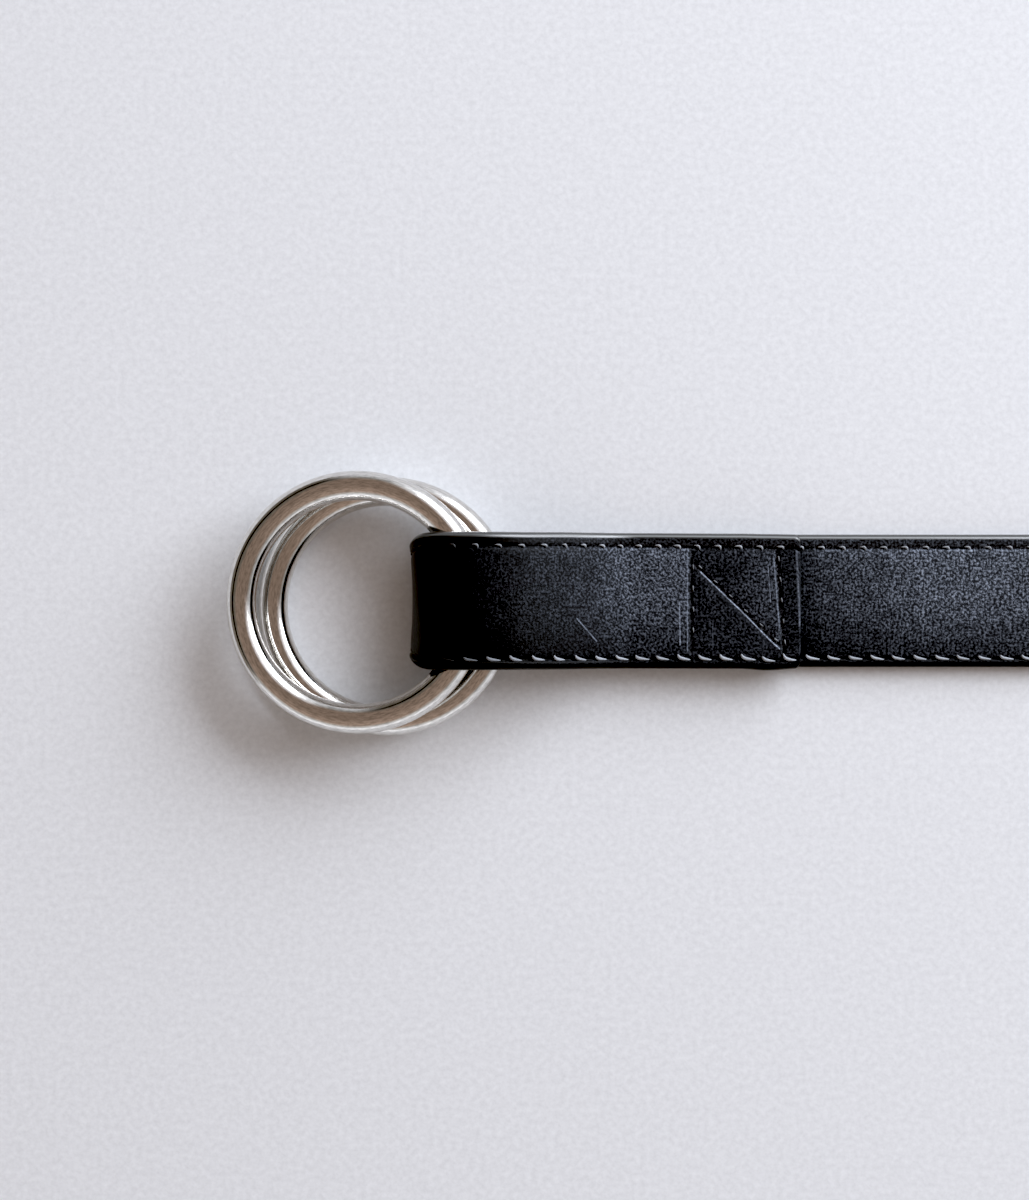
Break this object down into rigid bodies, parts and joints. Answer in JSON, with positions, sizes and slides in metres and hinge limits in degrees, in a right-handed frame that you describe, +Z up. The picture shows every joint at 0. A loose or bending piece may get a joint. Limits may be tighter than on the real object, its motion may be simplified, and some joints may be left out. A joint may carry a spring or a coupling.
{
  "type": "ring belt",
  "caption": "Leather belt strap folded round a pair of plain round-wire rings and sewn down; the tail threads through the rings to fasten.",
  "frame": {"origin": "middle of the belt's box in X and Y, on the surface that it lies on", "axes": "+X along the strap from the rings to the free end, +Z up from that surface, +Y across the strap"},
  "size_m": [0.1898, 0.0588, 0.02],
  "materials": {
    "leather": "matt waxed black leather with a grey bloom and burnished edges",
    "steel": "polished",
    "thread": "bonded sewing thread, charcoal"
  },
  "bodies": {
    "root": {"strap": "leather", "ring_lower": "steel", "ring_upper": "steel"}
  },
  "joints": []
}
